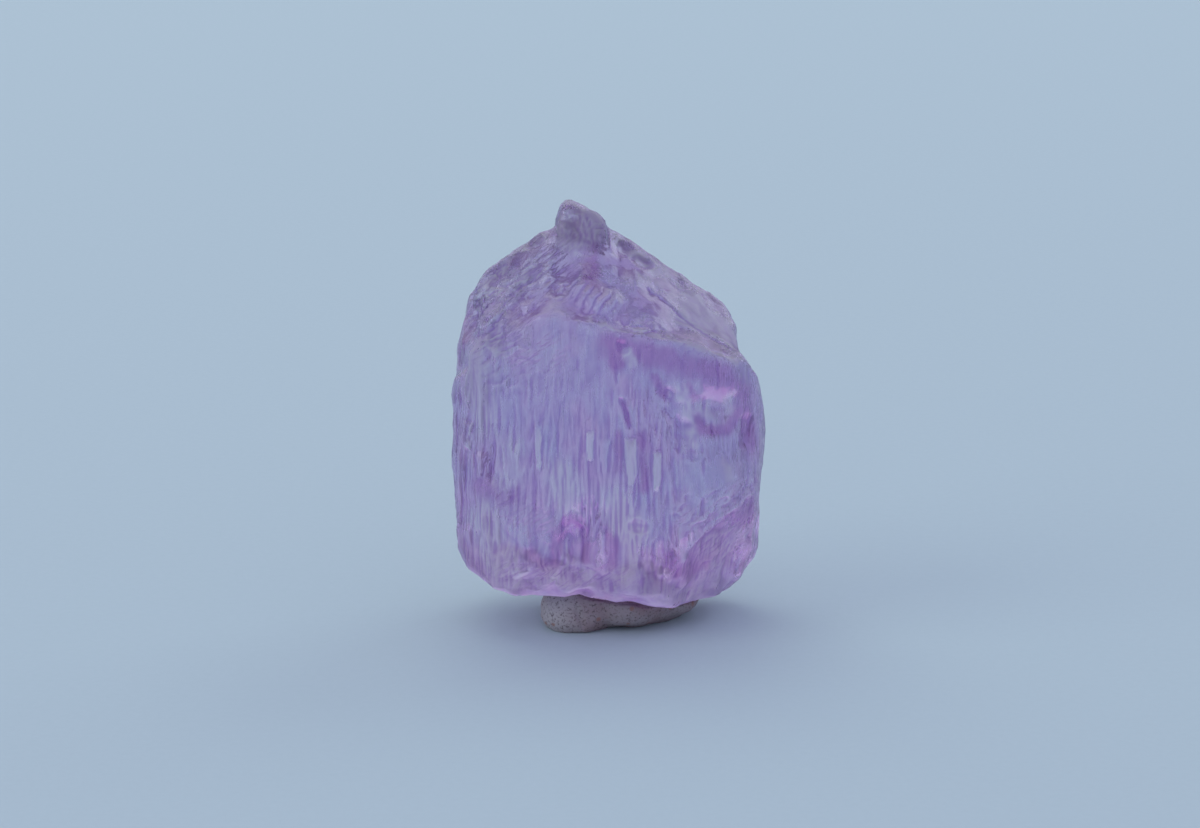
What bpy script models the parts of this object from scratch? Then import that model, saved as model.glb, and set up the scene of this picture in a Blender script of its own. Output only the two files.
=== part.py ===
"""A rough kunzite crystal that stands upright in a pressed lump of putty.

Metres, +Z up. The broad striated face looks along -Y, and X runs to its right. The origin is on
the surface that the putty stands on, under the middle of the whole. Sizes below are in millimetres.
"""

import math
from dataclasses import dataclass

import bmesh
import bpy
import numpy as np
from mathutils import Matrix, Vector, noise

MM = 0.001

# Driving dimensions of the crystal, in mm.
HALF_WIDTH = 9.7
FRONT = -6.0
BACK = 6.0
UNDERSIDE = 1.85
CROWN = 24.75
HORN_TIP = 26.85

# The gap that the putty keeps to the crystal that it holds, in mm.
PUTTY_GAP = 0.3

# How finely the solids are made: the remeshed grain in mm, the rounds of wear and the triangles.
CRYSTAL_GRAIN = 0.28
CRYSTAL_WEAR = 2
CRYSTAL_TRIANGLES = 7800
PUTTY_GRAIN = 0.25
PUTTY_WEAR = 4
PUTTY_TRIANGLES = 2000
CRYSTAL_SPACE_TRIANGLES = 1500

# How an egg shape is made: the rings of its ball, and the height and width of its lumps as shares
# of its radius.
SCOOP_MAKE = (3, 0.05, 0.6)
PUTTY_MAKE = (4, 0.12, 0.8)

# The looks of the two pieces.
KUNZITE_COLOUR = (0.62, 0.45, 0.78)
KUNZITE_ROUGHNESS = 0.2
KUNZITE_IOR = 1.66
PUTTY_COLOUR = (0.42, 0.40, 0.41)
PUTTY_ROUGHNESS = 0.8


@dataclass(frozen=True)
class Face:
    """A flat face: a point that it passes through, in mm, and the way it looks, in degrees."""

    through: tuple
    azimuth: float
    rise: float = 0.0

    def normal(self):
        """The way the face looks, as a unit vector."""
        turn = math.radians(self.azimuth)
        lift = math.radians(self.rise)
        level = math.cos(lift)
        return Vector((level * math.cos(turn), level * math.sin(turn), math.sin(lift)))


@dataclass(frozen=True)
class Egg:
    """An egg shape: its middle and radii in mm, turned about Z and then tipped about Y, in degrees."""

    middle: tuple
    radii: tuple
    turn: float = 0.0
    tip: float = 0.0

    def placing(self):
        """The matrix that makes a unit ball into the egg."""
        return (
            Matrix.Translation(self.middle)
            @ Matrix.Rotation(math.radians(self.turn), 4, "Z")
            @ Matrix.Rotation(math.radians(self.tip), 4, "Y")
            @ Matrix.Diagonal((*self.radii, 1.0))
        )


def shell_break(at, azimuth, rise, width, depth, stretch=1.0):
    """An egg that breaks a shell-shaped flake out of the surface at a point that looks this way."""
    radius = (width * width / 4 + depth * depth) / (2 * depth)
    middle = Vector(at) + Face(at, azimuth, rise).normal() * (radius - depth)
    return Egg(tuple(middle), (radius, radius, radius * stretch))


def slope(through, along_x, along_y):
    """The upward face that passes through a point and climbs this much for each mm along X and Y."""
    azimuth = math.degrees(math.atan2(-along_y, -along_x))
    rise = math.degrees(math.atan2(1.0, math.hypot(along_x, along_y)))
    return Face(through, azimuth, rise)


# The prism faces, the broken underside and the worn corners, shared by both parts of the body.
SIDES = (
    Face((0.0, FRONT, 12.0), -90, 2),
    Face((-4.5, FRONT + 0.35, 12.0), -108, 4),
    Face((-8.7, -3.6, 11.0), -143, 2),
    Face((-HALF_WIDTH, 0.0, 9.0), 180, -1.5),
    Face((-8.4, 3.9, 10.0), 137, 0),
    Face((-2.0, BACK, 11.0), 97, 1),
    Face((4.0, BACK - 0.4, 11.0), 78, 3),
    Face((8.3, 3.8, 10.0), 38, 2),
    Face((HALF_WIDTH + 0.1, 0.0, 13.3), 0, 0),
    Face((HALF_WIDTH - 0.1, -0.5, 14.7), 4, 15),
    Face((HALF_WIDTH - 0.15, 0.0, 8.0), -4, -3),
    Face((8.9, -3.6, 13.5), -38, 2),
    Face((5.5, FRONT + 0.2, 13.5), -73, 0),
    Face((4.75, FRONT, 6.2), -46, -19),
    Face((8.7, -0.5, 3.1), -8, -40),
    Face((3.5, -5.0, UNDERSIDE), 180, -83),
    Face((-3.5, -5.3, 3.1), -95, -50),
    Face((-9.0, -0.5, 4.3), 178, -30),
    Face((-7.6, -1.0, 3.05), -170, -58),
    Face((0.0, 5.1, 3.4), 92, -42),
)

# Where both tops fall away behind the ridge.
REAR = (
    Face((1.05, 3.0, 24.2), 61.7, 35),
    Face((-5.3, 2.4, 24.2), 120.5, 36),
    Face((-9.2, 0.5, 18.2), 178, 10),
)

# The front part's top: a bench that runs down to the right behind a worn shoulder.
BENCH = (
    slope((3.0, -5.0, 19.75), -0.24, 0.15),
    slope((7.2, -4.5, 18.5), -0.5, 0.05),
    Face((8.85, -0.5, 16.5), 12, 34),
    slope((-5.3, -5.0, 20.0), 0.62, 0.5),
    Face((-8.6, -2.0, 17.6), -160, 24),
)

# The chisel-shaped top behind it: two planes meet along a ridge at the back, under the horn.
CHISEL = (
    slope((5.7, 3.0, 21.4), -0.70, 0.45),
    slope((1.0, -5.0, 20.15), -0.25, 0.62),
    slope((-5.3, 2.0, 24.0), 0.60, 0.543),
    Face((-7.9, 1.0, 20.6), -168, 32),
    Face((-6.8, 1.0, 22.6), -170, 48),
    Face((0.0, 0.0, CROWN), 0, 90),
    Face((8.05, 1.0, 18.5), 6, 3),
)

# How far in the chisel's faces lie, so that none falls on a face of the front part.
CHISEL_INSET = 0.03

# The horn, a worn wedge that is the highest point and runs down the front as a buttress.
HORN = (
    Face((-3.1, 2.2, 25.4), 180, 4),
    Face((-0.2, 2.2, 25.2), 0, 14),
    Face((-1.1, 2.2, 26.15), 10, 62),
    Face((-2.6, 2.2, HORN_TIP), 180, 58),
    Face((-1.6, 0.6, 25.2), -95, 22),
    Face((-1.6, 3.5, 25.0), 88, 8),
    Face((-1.6, 2.0, 21.0), 0, -90),
)

# The hollow left of the crest under the horn. Its steep wall looks to the left.
HOLLOW = (
    Face((-1.05, -1.0, 23.9), 12, -34),
    Face((-3.75, -1.0, 23.4), 168, -18),
    Face((-2.2, 0.3, 24.0), 80, -42),
    Face((-2.2, -3.6, 22.0), -100, 0),
    Face((-2.3, -1.0, 22.5), 95, -66),
    Face((-2.3, -1.0, 24.7), -90, 70),
    Face((-1.6, 0.55, 25.2), 85, -22),
)

# The step in the left edge, above which the crystal is narrower.
LEFT_STEP = (
    Face((-9.05, -1.0, 17.0), 12, 0),
    Face((-9.2, -1.0, 16.5), -10, -62),
    Face((-9.4, 3.4, 17.0), 90, 0),
    Face((-9.4, -3.6, 17.0), -90, 0),
)

# Shell-shaped breaks: along the lower front, up the right edge, and in the back and the ends.
SCOOPS = (
    shell_break((-7.9, -4.7, 5.2), -138, -10, 3.6, 0.4, 1.5),
    shell_break((-5.3, -5.8, 4.3), -108, -18, 3.8, 0.45, 0.9),
    shell_break((-2.5, -6.15, 5.9), -84, -10, 3.3, 0.5, 1.5),
    shell_break((0.2, -6.2, 3.9), -100, -14, 3.0, 0.4, 1.3),
    shell_break((1.7, -6.2, 5.6), -78, -8, 2.2, 0.3, 2.0),
    shell_break((-1.7, -5.4, 2.9), -90, -50, 1.7, 0.65),
    shell_break((0.8, -5.6, 2.4), -80, -60, 2.3, 0.45),
    shell_break((6.3, -4.9, 7.4), -44, -26, 2.8, 0.25, 0.7),
    shell_break((7.6, -2.6, 4.4), -38, -24, 3.2, 0.3, 1.2),
    shell_break((9.0, -1.0, 3.9), -10, -30, 1.9, 0.3),
    shell_break((-5.6, 5.4, 17.0), 108, 8, 5.6, 0.6, 1.2),
    shell_break((4.8, 5.4, 14.0), 74, 0, 6.5, 0.5, 1.6),
    shell_break((-2.2, 6.0, 6.0), 96, -6, 6.0, 0.6, 0.9),
    shell_break((6.8, 4.6, 4.6), 50, -18, 4.2, 0.5),
    shell_break((0.8, 5.2, 3.2), 90, -45, 3.6, 0.5),
    shell_break((-9.6, 0.9, 12.0), 178, 0, 4.0, 0.3, 1.5),
    shell_break((9.7, 1.0, 14.6), 4, 6, 3.6, 0.3, 1.2),
)

# The stair of breaks on the top left: the inner corner of its lowest step, the way from one step
# to the next, the way that each step runs down to the left, and how long and how askew a step is.
STAIR_START = Vector((-4.4, -3.4, 21.2))
STAIR_STRIDE = Vector((0.0, 1.22, 0.66))
STAIR_RUN = Vector((-0.76, -0.26, -0.60))
STAIR_STEPS = 5
STAIR_LENGTH = 5.0
STAIR_RAGGED = 0.7
STAIR_SWING = 9.0

# The fluted chunk below the hollow: its first rib, the stride from rib to rib, a rib's size, how
# much lower each is than the last, and the turn of the first rib and from rib to rib.
RIB_START = Vector((-1.75, -2.95, 21.8))
RIB_STRIDE = Vector((0.66, -0.2, -0.27))
RIB_SIZE = (0.78, 2.3, 1.7)
RIB_DROP = 0.09
RIB_TURN = 38
RIB_FAN = -9
RIB_COUNT = 4

# The wear on every face: the width and height of its swells, in mm.
SWELLS = ((4.3, 0.13), (1.7, 0.06))

# The upright ripples of the prism faces: their width along X, Y and Z, and their height, in mm.
RIPPLE_WIDTHS = (1.25, 1.25, 11.0)
RIPPLE_HEIGHT = 0.13

# The rough breaks: the width of a facet, how high it stands at most, and where it fades in, in mm.
# The top left one climbs with X by its lean. The edge of both wanders by this height and width.
# The spreads keep the X, Y and Z of a facet's tilt apart.
BREAK_CELL = 2.3
TILT_SPREADS = (5.3, 7.1, 9.7)
BASE_BREAK = 0.36
BASE_BREAK_FADE = (9.0, 5.5)
TOP_LEFT_BREAK = 0.18
TOP_LEFT_FADE = (22.0, 26.0)
TOP_LEFT_LEAN = 0.9
BREAK_WANDER = (1.5, 2.6)

# Soft hollows and swellings worn into the surface: middle and radii in mm, and the depth in mm.
SOFT_FORMS = (
    (Egg((6.9, -5.6, 14.8), (1.5, 2.0, 1.2)), 0.5),
    (Egg((4.7, -6.0, 13.6), (0.8, 2.0, 2.3), 0, 20), 0.35),
    (Egg((8.3, -4.0, 12.2), (1.1, 2.0, 1.6)), 0.25),
    (Egg((5.9, -5.8, 17.2), (2.6, 2.0, 0.9), 0, 15), -0.25),
    (Egg((6.3, -5.6, 10.4), (1.6, 2.0, 1.3)), -0.3),
    (Egg((1.0, -6.0, 18.0), (1.3, 2.0, 0.9)), 0.25),
    (Egg((-3.5, -6.0, 17.0), (2.4, 2.0, 1.5)), 0.18),
    (Egg((-6.8, -5.2, 13.0), (1.8, 2.0, 2.6)), 0.15),
    (Egg((0.5, -6.0, 11.0), (2.6, 2.0, 3.2)), -0.15),
    (Egg((3.6, -5.4, 2.9), (1.7, 1.6, 1.4)), -0.4),
    (Egg((2.0, 6.0, 8.0), (2.0, 2.0, 4.0)), 0.3),
    (Egg((-6.5, 5.0, 10.0), (1.6, 2.0, 5.0)), -0.3),
)


# The lumps that the putty was squeezed into: the main one, a lobe at the front left and a tail.
PUTTY_LUMPS = (
    Egg((1.1, 0.5, 1.9), (5.1, 4.8, 2.7), 8),
    Egg((-1.8, -2.3, 1.1), (2.5, 2.1, 1.9), 20),
    Egg((3.8, -0.5, 1.8), (2.3, 2.4, 1.6), -15),
)


def clear_scene():
    """Removes every object of the scene that the script starts in."""
    for thing in list(bpy.data.objects):
        bpy.data.objects.remove(thing, do_unlink=True)


def finish(name, colour, roughness, **others):
    """A material with a piece's own colour and gloss, and any other values of its shader."""
    made = bpy.data.materials.new(name)
    made.use_nodes = True
    made.diffuse_color = (*colour, 1.0)
    shader = made.node_tree.nodes["Principled BSDF"]
    shader.inputs["Base Color"].default_value = (*colour, 1.0)
    shader.inputs["Roughness"].default_value = roughness
    shader.inputs["Metallic"].default_value = 0.0
    for socket, value in others.items():
        shader.inputs[socket].default_value = value
    return made


def place(name, shape):
    """A new object that holds a bmesh made in mm."""
    bmesh.ops.scale(shape, vec=(MM, MM, MM), verts=shape.verts)
    mesh = bpy.data.meshes.new(name)
    shape.to_mesh(mesh)
    shape.free()
    thing = bpy.data.objects.new(name, mesh)
    bpy.context.scene.collection.objects.link(thing)
    return thing


def faceted_block(name, middle, faces, reach=60.0, inset=0.0):
    """A convex block: a large cube round its middle, cut flat by each face, set in by the inset."""
    shape = bmesh.new()
    bmesh.ops.create_cube(shape, size=reach, matrix=Matrix.Translation(middle))
    for face in faces:
        everything = shape.verts[:] + shape.edges[:] + shape.faces[:]
        cut = bmesh.ops.bisect_plane(
            shape,
            geom=everything,
            plane_co=Vector(face.through) - face.normal() * inset,
            plane_no=face.normal(),
            clear_outer=True,
        )
        rim = [part for part in cut["geom_cut"] if isinstance(part, bmesh.types.BMEdge)]
        if rim:
            bmesh.ops.contextual_create(shape, geom=rim)
    bmesh.ops.recalc_face_normals(shape, faces=shape.faces)
    return place(name, shape)


def egg_block(name, egg, make):
    """A lumpy egg as a solid: make holds its rings, and the height and width of its lumps."""
    rings, lump_height, lump_width = make
    shape = bmesh.new()
    bmesh.ops.create_icosphere(shape, subdivisions=rings, radius=1.0)
    for vertex in shape.verts:
        swelling = noise.noise(vertex.co / lump_width + Vector(egg.middle))
        vertex.co *= 1.0 + lump_height * swelling
    bmesh.ops.transform(shape, matrix=egg.placing(), verts=shape.verts)
    return place(name, shape)


def combine(target, other, operation):
    """Joins another object to the target, or cuts it away, and removes the other."""
    step = target.modifiers.new(operation.lower(), "BOOLEAN")
    step.operation = operation
    step.solver = "EXACT"
    step.object = other
    settle(target)
    bpy.data.objects.remove(other, do_unlink=True)


def settle(thing):
    """Writes an object's modifiers into its mesh."""
    bpy.context.view_layer.update()
    graph = bpy.context.evaluated_depsgraph_get()
    shaped = bpy.data.meshes.new_from_object(thing.evaluated_get(graph))
    thing.modifiers.clear()
    thing.data = shaped


def wear(thing, rounds):
    """Softens an object's edges, a little more with each round."""
    worn = thing.modifiers.new("worn", "SMOOTH")
    worn.factor = 0.5
    worn.iterations = rounds
    settle(thing)


def regrain(thing, size):
    """Remeshes an object in even cells of this size, in mm."""
    cells = thing.modifiers.new("cells", "REMESH")
    cells.mode = "VOXEL"
    cells.voxel_size = size * MM
    settle(thing)


def thin_out(thing, triangles):
    """Reduces an object to about this many triangles, keeping its edges."""
    thing.data.calc_loop_triangles()
    fewer = thing.modifiers.new("fewer", "DECIMATE")
    fewer.ratio = triangles / len(thing.data.loop_triangles)
    settle(thing)


def stair_cut(number):
    """One step of the stair: its tread, its riser, and the two ends of the flake that came away."""
    corner = STAIR_START + STAIR_STRIDE * number
    swing = STAIR_SWING * math.sin(5.1 * number)
    ragged = STAIR_RAGGED * math.cos(2.4 * number)
    start = corner - STAIR_RUN * ragged
    end = corner + STAIR_RUN * (STAIR_LENGTH + ragged)
    return (
        Face(corner, 8 + swing, -53),
        Face(corner, 87 + swing, -27 + swing),
        Face(start, 20 - swing, -20),
        Face(end, 195 + swing, -12),
    )


def rib(number):
    """One rib of the fluted chunk, a small brick with its top tipped to the front."""
    middle = RIB_START + RIB_STRIDE * number
    across, along, up = (Vector(half) for half in np.diag(RIB_SIZE) / 2)
    turn = RIB_TURN + RIB_FAN * number
    top = middle + up - Vector((0.0, 0.0, RIB_DROP * number))
    return (
        Face(middle + across, -turn, 8),
        Face(middle - across, 180 - turn, 4),
        Face(middle - along, -90 - turn, 30),
        Face(middle + along, 90 - turn, 10),
        Face(top, -90 - turn, 64),
        Face(middle - up, 0, -90),
    )


def fade(value, start, end):
    """Runs from 0 at the start to 1 at the end, level beyond them."""
    return min(1.0, max(0.0, (value - start) / (end - start)))


def hackle(point):
    """The height of a rough break, from -1 to 1: small flat facets, each with its own tilt."""
    scaled = point / BREAK_CELL
    seat = noise.voronoi(scaled)[1][0]
    tilt = Vector(noise.noise(seat * spread) for spread in TILT_SPREADS)
    return 2.0 * (scaled - seat).dot(tilt)


def break_height(point):
    """How high the facets of a rough break stand at a point, in mm: most along the broken base."""
    wander_height, wander_width = BREAK_WANDER
    level = point.z + wander_height * noise.noise(point / wander_width)
    base = BASE_BREAK * fade(level, *BASE_BREAK_FADE)
    top_left = TOP_LEFT_BREAK * fade(level - TOP_LEFT_LEAN * point.x, *TOP_LEFT_FADE)
    return max(base, top_left)


def relief(point):
    """How far the surface stands out at a point in mm: wear, upright ripples and rough breaks."""
    across = Vector(at / width for at, width in zip(point, RIPPLE_WIDTHS))
    stands_out = RIPPLE_HEIGHT * noise.noise(across)
    for width, height in SWELLS:
        stands_out += height * noise.noise(point / width)
    stands_out += break_height(point) * hackle(point)
    for egg, depth in SOFT_FORMS:
        inside = egg.placing().inverted() @ point
        stands_out -= depth * math.exp(-inside.length_squared)
    return stands_out


def carve_relief(thing):
    """Moves every point of an object in or out by the relief there."""
    mesh = thing.data
    outward = [normal.vector.copy() for normal in mesh.vertex_normals]
    for vertex, normal in zip(mesh.vertices, outward):
        vertex.co += normal * (relief(vertex.co / MM) * MM)


def crystal_solid(name):
    """The whole crystal: the body, its chisel top and horn, and what is broken out of them."""
    body = faceted_block(name, (0, 0, 12), SIDES + REAR + BENCH)
    chisel = faceted_block("chisel", (0, 0, 12), SIDES + REAR + CHISEL, inset=CHISEL_INSET)
    combine(body, chisel, "UNION")
    combine(body, faceted_block("horn", (-1.6, 2.2, 24), HORN), "UNION")
    combine(body, faceted_block("hollow", (-2.3, -1.0, 23.5), HOLLOW), "DIFFERENCE")
    for number in range(STAIR_STEPS):
        above_step = STAIR_START + STAIR_STRIDE * number + STAIR_RUN + Vector((0.0, -1.0, 1.5))
        combine(body, faceted_block("step", above_step, stair_cut(number)), "DIFFERENCE")
    for number in range(RIB_COUNT):
        rib_middle = RIB_START + RIB_STRIDE * number
        combine(body, faceted_block("rib", rib_middle, rib(number)), "UNION")
    combine(body, faceted_block("left_step", (-12, 0, 20), LEFT_STEP), "DIFFERENCE")
    for egg in SCOOPS:
        combine(body, egg_block("scoop", egg, SCOOP_MAKE), "DIFFERENCE")
    return body


def grown_copy(name, thing, growth):
    """A copy of an object with every point moved outward by the growth, in mm."""
    mesh = thing.data.copy()
    outward = [normal.vector.copy() for normal in mesh.vertex_normals]
    for vertex, normal in zip(mesh.vertices, outward):
        vertex.co += normal * (growth * MM)
    grown = bpy.data.objects.new(name, mesh)
    bpy.context.scene.collection.objects.link(grown)
    return grown


def putty_solid(name, crystal):
    """The pressed lump of putty: flat on the ground, and hollowed by the crystal that it holds."""
    lump = egg_block(name, PUTTY_LUMPS[0], PUTTY_MAKE)
    for egg in PUTTY_LUMPS[1:]:
        combine(lump, egg_block("lump", egg, PUTTY_MAKE), "UNION")
    regrain(lump, PUTTY_GRAIN)
    wear(lump, PUTTY_WEAR)
    thin_out(lump, PUTTY_TRIANGLES)
    crystal_space = grown_copy("crystal_space", crystal, PUTTY_GAP)
    thin_out(crystal_space, CRYSTAL_SPACE_TRIANGLES)
    combine(lump, crystal_space, "DIFFERENCE")
    ground = faceted_block("ground", (0, 0, -5), (Face((0, 0, 0), 0, 90),))
    combine(lump, ground, "DIFFERENCE")
    return lump


def stand_on_origin(things):
    """Moves the pieces level so that the origin is under the middle of the whole."""
    points = [vertex.co for thing in things for vertex in thing.data.vertices]
    middle = [(min(p[axis] for p in points) + max(p[axis] for p in points)) / 2 for axis in (0, 1)]
    shift = Matrix.Translation((-middle[0], -middle[1], 0.0))
    for thing in things:
        thing.data.transform(shift)


def dress(thing, material):
    """Gives an object this material alone."""
    thing.data.materials.clear()
    thing.data.materials.append(material)


def main():
    """Builds the crystal and the putty under it."""
    clear_scene()
    crystal = crystal_solid("kunzite_crystal")
    regrain(crystal, CRYSTAL_GRAIN)
    wear(crystal, CRYSTAL_WEAR)
    carve_relief(crystal)
    wear(crystal, CRYSTAL_WEAR)
    thin_out(crystal, CRYSTAL_TRIANGLES)
    putty = putty_solid("putty_stand", crystal)
    clear_stone = {"Transmission Weight": 1.0, "IOR": KUNZITE_IOR}
    dress(crystal, finish("kunzite", KUNZITE_COLOUR, KUNZITE_ROUGHNESS, **clear_stone))
    dress(putty, finish("putty", PUTTY_COLOUR, PUTTY_ROUGHNESS))
    stand_on_origin((crystal, putty))


main()
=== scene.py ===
"""The looks of a rough kunzite crystal that stands in a pressed lump of putty.

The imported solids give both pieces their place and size. Each piece shown here is a finer copy of
its solid, carved with the relief of the real surface and dressed with its finish. Points and sizes
of the relief and of the patterns are in millimetres, and everything else is in metres.
"""

import logging
import math
from dataclasses import dataclass, field
from enum import Enum
from typing import Protocol

import bmesh
import bpy
import numpy as np
from bpy.types import ID, Material, Mesh, Node, NodeSocket, NodeTree, Object
from mathutils import Matrix, Vector, noise


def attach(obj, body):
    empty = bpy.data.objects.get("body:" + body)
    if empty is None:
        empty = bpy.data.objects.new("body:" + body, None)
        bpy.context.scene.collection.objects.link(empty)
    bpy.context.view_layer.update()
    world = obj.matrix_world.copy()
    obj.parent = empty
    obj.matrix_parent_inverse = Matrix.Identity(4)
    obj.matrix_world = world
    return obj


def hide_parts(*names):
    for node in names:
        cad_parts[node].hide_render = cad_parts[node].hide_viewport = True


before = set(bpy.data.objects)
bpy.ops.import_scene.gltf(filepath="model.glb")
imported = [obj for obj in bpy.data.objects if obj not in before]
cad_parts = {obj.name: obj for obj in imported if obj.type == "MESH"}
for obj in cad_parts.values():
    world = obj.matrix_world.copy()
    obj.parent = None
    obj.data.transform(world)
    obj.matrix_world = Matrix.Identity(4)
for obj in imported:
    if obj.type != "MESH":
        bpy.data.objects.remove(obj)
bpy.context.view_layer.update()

LOG = logging.getLogger("kunzite_crystal")

MM = 0.001
# Names of the values that the finishes read from the points of a piece.
# The fine and broad shading notes paint light on the crystal's crests and shade in its creases.
FINE_SHADING_NOTE = "fine_shading_note"
BROAD_SHADING_NOTE = "broad_shading_note"
PALE_AND_LIT_NOTE = "pale_and_lit_note"
DEEP_NOTE = "deep_note"
SPLINTER_NOTE = "splinter_note"
FROST_NOTE = "frost_note"
# The value of a relief note where the surface neither stands out nor lies back.
NEUTRAL = 0.5
# How far apart noise is read for the values that a cell draws by lot.
LOT_SPREADS = (5.3, 7.1, 9.7)
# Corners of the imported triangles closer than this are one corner, in metres.
MERGE_REACH = 1e-7
# The rise of the photograph's view over the floor, in radians, as estimated from the photograph.
FRONT_RISE = math.radians(15.0)

Colour = tuple[float, float, float]
Point = tuple[float, float, float]
Values = np.ndarray


def ramp(value: float, start: float, end: float) -> float:
    """Eases from 0 to 1 as a value goes from start to end.

    Args:
        value: The value to judge.
        start: Where the result leaves 0.
        end: Where the result reaches 1. It may be below start.

    Returns:
        A share from 0 to 1.
    """
    share = min(1.0, max(0.0, (value - start) / (end - start)))
    return share * share * (3.0 - 2.0 * share)


# Relief of the stone. Points and lengths from here to the finishes are in millimetres.


class Relief(Protocol):
    """Anything that raises or lowers the surface of a piece."""

    def height_at(self, at: Vector, facing: Vector) -> float:
        """How far the surface stands out at a point that faces this way, in mm."""


@dataclass(frozen=True)
class Zone:
    """A soft-edged, egg-shaped part of the stone."""

    middle: Point
    radii: Point
    turn: float = 0.0
    tip: float = 0.0
    into_zone: Matrix = field(init=False, repr=False, compare=False)

    def __post_init__(self) -> None:
        """Works out the matrix that takes a point into the zone's own unit ball."""
        placing = (
            Matrix.Translation(self.middle)
            @ Matrix.Rotation(math.radians(self.turn), 4, "Z")
            @ Matrix.Rotation(math.radians(self.tip), 4, "Y")
            @ Matrix.Diagonal((*self.radii, 1.0))
        )
        object.__setattr__(self, "into_zone", placing.inverted())

    def share(self, at: Vector) -> float:
        """How much a point belongs to the zone, from 1 in its middle to 0 far away."""
        return math.exp(-(self.into_zone @ at).length_squared)


@dataclass(frozen=True)
class Swells:
    """Soft swells and hollows all over a worn surface, of this width along X, Y and Z."""

    widths: Point
    height: float
    calm: tuple[Zone, ...] = ()

    def height_at(self, at: Vector, facing: Vector) -> float:
        """The height of the swells at a point, whichever way the surface faces there."""
        return self.height * calmness(at, self.calm) * noise.noise(drawn_out(at, self.widths))


@dataclass(frozen=True)
class Flutes:
    """Long sharp-crested ridges that run along the crystal on its upright faces."""

    widths: Point
    height: float
    calm: tuple[Zone, ...] = ()
    sharpness: float = 3.0

    def height_at(self, at: Vector, facing: Vector) -> float:
        """The height of the ridges, which fade in the calm zones.

        Args:
            at: A point of the surface.
            facing: The way the surface faces there.

        Returns:
            How far the surface stands out, in mm.
        """
        upright = uprightness(facing) * calmness(at, self.calm)
        if upright == 0.0:
            return 0.0
        ridge = 1.0 - self.sharpness * abs(noise.noise(drawn_out(at, self.widths)))
        return upright * self.height * ridge


@dataclass(frozen=True)
class EtchChannels:
    """Long V-shaped hollows, scattered along the prism."""

    spacing: float
    run: float
    wide: float
    depth: float
    share: float
    taper: float = 2.4

    def height_at(self, at: Vector, facing: Vector) -> float:
        """The depth of the nearest channel, as a height below zero.

        Args:
            at: A point of the surface.
            facing: The way the surface faces there.

        Returns:
            How far the surface stands out, in mm.
        """
        upright = uprightness(facing)
        if upright == 0.0:
            return 0.0
        place = drawn_out(at, (self.spacing, self.spacing, self.run))
        seat = noise.voronoi(place)[1][0]
        if 0.5 + 0.5 * noise.noise(seat * LOT_SPREADS[0]) > self.share:
            return 0.0
        away = place - seat
        across = math.hypot(away.x, away.y) * self.spacing / self.wide
        along = abs(away.z) * self.taper
        return -upright * self.depth * max(0.0, 1.0 - math.hypot(across, along))


@dataclass(frozen=True)
class Terraces:
    """A flight of small breaks: saw-toothed steps that follow one another along a direction."""

    zone: Zone
    along: Point
    spacing: float
    height: float
    wander: float = 0.5

    def height_at(self, at: Vector, facing: Vector) -> float:
        """The height of the steps within their zone.

        Args:
            at: A point of the surface.
            facing: The way the surface faces there, which makes no difference here.

        Returns:
            How far the surface stands out, in mm.
        """
        strength = ramp(self.zone.share(at), 0.25, 0.7)
        if strength == 0.0:
            return 0.0
        level = at.dot(Vector(self.along)) / self.spacing
        level += self.wander * noise.noise(at / (1.8 * self.spacing))
        level += 0.4 * self.wander * noise.noise(at / (0.6 * self.spacing))
        tooth = level - math.floor(level)
        lot = 0.5 + noise.noise(Vector((math.floor(level) * 3.7, at.x * 0.6, at.z * 0.6)))
        return strength * self.height * lot * (tooth - ramp(tooth, 0.75, 1.0))


@dataclass(frozen=True)
class Hackle:
    """Small flat facets of a rough break, each with its own tilt, in some zones of the stone."""

    cell: Point
    height: float
    zones: tuple[Zone, ...]
    elsewhere: float = 0.0

    def height_at(self, at: Vector, facing: Vector) -> float:
        """The height of the facet at a point.

        Args:
            at: A point of the surface.
            facing: The way the surface faces there, which makes no difference here.

        Returns:
            How far the surface stands out, in mm.
        """
        strength = max([self.elsewhere, *(zone.share(at) for zone in self.zones)])
        if strength < 0.03:
            return 0.0
        place = drawn_out(at, self.cell)
        seat = noise.voronoi(place)[1][0]
        tilt = Vector(noise.noise(seat * spread) for spread in LOT_SPREADS)
        return strength * self.height * 2.0 * (place - seat).dot(tilt)


@dataclass(frozen=True)
class Groove:
    """A line cut into the surface from point to point, or a ridge if its depth is below 0."""

    points: tuple[Point, ...]
    wide: float
    depth: float
    waver: float = 0.5

    def height_at(self, at: Vector, facing: Vector) -> float:
        """The depth of the groove, as a height below zero.

        Args:
            at: A point of the surface.
            facing: The way the surface faces there, which makes no difference here.

        Returns:
            How far the surface stands out, in mm.
        """
        nearest = min(
            distance_to_line(at, Vector(start), Vector(end))
            for start, end in zip(self.points, self.points[1:])
        )
        if nearest > 2.0 * self.wide:
            return 0.0
        nearest += self.waver * self.wide * noise.noise(at * 1.7)
        return -self.depth * max(0.0, 1.0 - abs(nearest) / self.wide)


@dataclass(frozen=True)
class ShellScar:
    """A shallow hollow with a sharp rim, where a flake broke away and left rings behind."""

    zone: Zone
    depth: float
    rings: float = 2.5
    ring_height: float = 0.10
    waver: float = 0.3

    def height_at(self, at: Vector, facing: Vector) -> float:
        """The depth of the scar, as a height below zero.

        Args:
            at: A point of the surface.
            facing: The way the surface faces there, which makes no difference here.

        Returns:
            How far the surface stands out, in mm.
        """
        spot = self.zone.into_zone @ at
        away = spot.length
        if away > 1.4:
            return 0.0
        away += self.waver * noise.noise(at * 1.1)
        from_top = math.hypot(spot.x, spot.z - 1.3) + 0.15 * noise.noise(at * 2.3)
        ring = self.ring_height * math.sin(2.0 * math.pi * self.rings * from_top)
        return -self.depth * max(0.0, 1.0 - away * away) * (1.0 + ring)


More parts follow.
